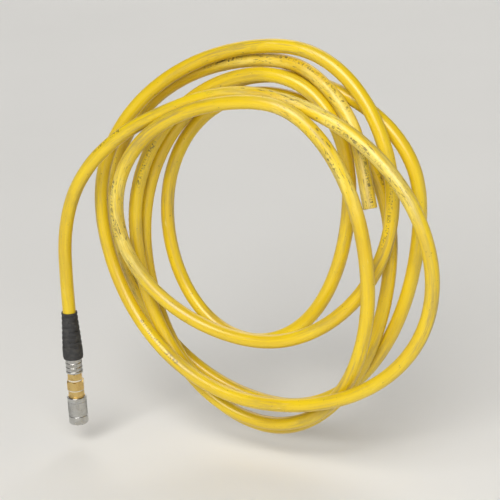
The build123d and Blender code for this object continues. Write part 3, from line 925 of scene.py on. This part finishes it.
def sleeve_piece():
    """The locking sleeve, with a diamond knurl between two turned grooves."""
    low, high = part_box("locking_sleeve")
    top, bottom, sleeve_r = high[2], low[2], (high[0] - low[0]) / 2
    knurl_top = top - KNURL_FROM
    knurl_bottom = knurl_top - (KNURL_ROWS - 1) * KNURL_STEP
    above_knurl = [
        (SLEEVE_POCKET_R, top),
        (sleeve_r - SLEEVE_CHAMFER, top),
        (sleeve_r, top - SLEEVE_CHAMFER),
        (sleeve_r, knurl_top + GROOVE_EDGE),
        (sleeve_r - SLEEVE_GROOVE, knurl_top + GROOVE_END),
        (sleeve_r - SLEEVE_GROOVE, knurl_top + GROOVE_START),
    ]
    below_knurl = [
        (sleeve_r - SLEEVE_GROOVE, knurl_bottom - GROOVE_START),
        (sleeve_r - SLEEVE_GROOVE, knurl_bottom - GROOVE_END),
        (sleeve_r, knurl_bottom - GROOVE_EDGE),
        (sleeve_r, bottom + SLEEVE_NOSE),
        (sleeve_r - SLEEVE_NOSE_STEP, bottom),
        (SLEEVE_MOUTH_R, bottom),
        (SLEEVE_MOUTH_R, bottom + SLEEVE_MOUTH_TOP),
        (SLEEVE_RAMP_R, bottom + SLEEVE_MOUTH_TOP),
        (SLEEVE_RAMP_R, bottom + SLEEVE_RAMP_START),
        (SLEEVE_LAND_R, bottom + SLEEVE_LAND_START),
        (SLEEVE_LAND_R, bottom + SLEEVE_LAND_END),
        (SLEEVE_POCKET_R, bottom + SLEEVE_LAND_END),
    ]
    rounded = soften(above_knurl + below_knurl, SLEEVE_ROUND)
    # soften() turns each corner into a round and a support point at either side.
    points_per_corner = ROUND_STEPS + 3
    split = len(above_knurl) * points_per_corner
    rows = [Vector((sleeve_r, knurl_top - row * KNURL_STEP)) for row in range(KNURL_ROWS)]
    period = KNURL_SAMPLES * KNURL_STEP

    def relief(radius, angle, height):
        in_band = knurl_bottom - TINY <= height <= knurl_top + TINY
        if not in_band or radius < sleeve_r - TINY:
            return 0.0
        turn = angle * KNURL_COUNT / (2 * math.pi)
        rise = (knurl_top - height) / period
        first = abs(2 * ((turn + rise + KNURL_PHASE) % 1.0) - 1)
        second = abs(2 * ((turn - rise + KNURL_PHASE) % 1.0) - 1)
        return -KNURL_DEPTH * (1 - min(first, second))

    outline = rounded[:split] + rows + rounded[split:]
    sides = KNURL_COUNT * KNURL_SAMPLES
    return lathe("locking_sleeve_knurled", "locking_sleeve", "sleeve", outline, sides, relief)


# ---- Springs ---------------------------------------------------------------------------

WIRE_SIDES = 12
STEPS_PER_TURN = 28
END_CLOSING = 0.75
SLEEVE_WIRE_R = 0.00045
SLEEVE_SPRING_TURNS = 5
VALVE_WIRE_R = 0.00035
VALVE_SPRING_TURNS = 6


def spring_piece(name, node, wire_r, turns):
    """A compression spring with closed ends."""
    low, high = (Vector(corner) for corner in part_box(node))
    middle, mean_r = (low + high) / 2, (high.x - low.x) / 2 - wire_r
    bottom, height = low.z + wire_r, high.z - low.z - 2 * wire_r
    steps = turns * STEPS_PER_TURN
    path = []
    for step in range(steps + 1):
        share = step / steps
        angle = 2 * math.pi * turns * share
        rise = share - END_CLOSING * math.sin(2 * math.pi * share) / (2 * math.pi)
        path.append(Vector((
            middle.x + mean_r * math.cos(angle),
            middle.y + mean_r * math.sin(angle),
            bottom + height * rise,
        )))
    places = []
    for step, centre in enumerate(path):
        tangent = (path[min(step + 1, steps)] - path[max(step - 1, 0)]).normalized()
        out = Vector((centre.x - middle.x, centre.y - middle.y, 0)).normalized()
        across = tangent.cross(out)
        for side in range(WIRE_SIDES):
            turn = 2 * math.pi * side / WIRE_SIDES
            places.append(centre + (out * math.cos(turn) + across * math.sin(turn)) * wire_r)
    faces = ring_faces(steps + 1, WIRE_SIDES)[:-WIRE_SIDES]
    faces += [tuple(range(WIRE_SIDES)), tuple(range(steps * WIRE_SIDES, len(places)))]
    mesh = bpy.data.meshes.new(name)
    mesh.from_pydata(places, [], faces)
    piece = new_piece(name, mesh, MATERIALS[SLOTS[node]])
    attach(piece, "root")
    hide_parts(node)
    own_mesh(piece)
    return piece


# ---- CAD nodes that stay -----------------------------------------------------------------

def finish_cad_nodes():
    """Give every CAD node that stays the finish of its material slot."""
    for name, slot in SLOTS.items():
        mesh = frame["nodes"][name].data
        mesh.materials.clear()
        mesh.materials.append(MATERIALS[slot])


# ---- Stage -----------------------------------------------------------------------------

FLOOR_GAP = 0.03
FLOOR_SIZE = 30.0
FLOOR_ROUGHNESS = 0.7
FLOOR_CLOUD = (1.5, 3, 0.5)
FLOOR_SHADES = (0.74, 0.737, 0.725), (0.79, 0.786, 0.775)

# Broad, far-off lamps: azimuth (0 is the front), elevation, angle that it fills, strength, colour.
SUNS = {
    "key": (8.0, 42.0, 40.0, 2.50, (1.0, 0.98, 0.94)),
    "back": (205.0, 38.0, 50.0, 1.0, (1.0, 0.99, 0.97)),
}
SIDE_PLACE = Vector((0.50, -0.80, 0.38))
SIDE_AIM = Vector((0.12, 0.0, -0.10))
SIDE_SIZE = 0.50
SIDE_POWER = 3.6
SIDE_COLOUR = (1.0, 0.99, 0.96)
# The sky fades from the horizon to a height, which is the sine of the elevation.
SKY_COLOUR = (1.0, 0.995, 0.98, 1.0)
SKY_STRENGTH = 0.07
HORIZON_STRENGTH = 0.63
HORIZON_HEIGHT = 0.35


def make_floor():
    """A plain pale floor just under the hanging hose."""
    mesh = bpy.data.meshes.new("floor")
    half, level = FLOOR_SIZE / 2, CAD_BOX[0].z - FLOOR_GAP
    corners = [(-half, -half), (half, -half), (half, half), (-half, half)]
    mesh.from_pydata([(*corner, level) for corner in corners], [], [(0, 1, 2, 3)])
    material, tree, shader = new_material("floor", Roughness=FLOOR_ROUGHNESS)
    cloud = blotches(tree, object_place(tree), *FLOOR_CLOUD)
    finish_material(tree, shader, blend_colours(tree, cloud, *FLOOR_SHADES))
    new_piece("floor", mesh, material)


def make_lamp(name, kind, strength, colour):
    """A lamp of a kind, and the object that holds it."""
    lamp = bpy.data.lights.new(name, kind)
    lamp.energy, lamp.color = strength, colour
    holder = bpy.data.objects.new(name, lamp)
    bpy.context.scene.collection.objects.link(holder)
    return lamp, holder


def make_lights():
    """Soft studio light: two broad suns and a lamp at the front right."""
    for name, (azimuth, elevation, width, strength, colour) in SUNS.items():
        sun, holder = make_lamp(name, "SUN", strength, colour)
        sun.angle = math.radians(width)
        holder.rotation_euler = (math.radians(90 - elevation), 0, math.radians(azimuth))
    side, holder = make_lamp("side", "AREA", SIDE_POWER, SIDE_COLOUR)
    side.size = SIDE_SIZE
    turn = (SIDE_AIM - SIDE_PLACE).to_track_quat("-Z", "Y").to_matrix().to_4x4()
    holder.matrix_world = Matrix.Translation(SIDE_PLACE) @ turn


def make_sky():
    """A pale sky, brightest at the horizon."""
    world = bpy.data.worlds.new("studio")
    world.use_nodes = True
    tree = world.node_tree
    direction = add(tree, "ShaderNodeTexCoord").outputs["Generated"]
    height = calculate(tree, "ABSOLUTE", add(tree, "ShaderNodeSeparateXYZ", {0: direction}).outputs[2])
    strength = between(tree, height, 0.0, HORIZON_HEIGHT, HORIZON_STRENGTH, SKY_STRENGTH)
    background = tree.nodes["Background"]
    background.inputs["Color"].default_value = SKY_COLOUR
    tree.links.new(strength, background.inputs["Strength"])
    bpy.context.scene.world = world
    bpy.context.scene.view_settings.view_transform = "Standard"


# ---- Build -----------------------------------------------------------------------------

make_camera()
hose_line = HoseLine(spline_points(hose_route()))
hose = hose_piece(hose_line)
cut_end = [braid_piece(hose_line), liner_piece(hose_line)]
bend_guard_piece()
ferrule_piece()
sleeve_piece()
spring_piece("sleeve_return_spring", "sleeve_spring", SLEEVE_WIRE_R, SLEEVE_SPRING_TURNS)
spring_piece("valve_return_spring", "valve_spring", VALVE_WIRE_R, VALVE_SPRING_TURNS)
finish_cad_nodes()
make_floor()
make_lights()
make_sky()
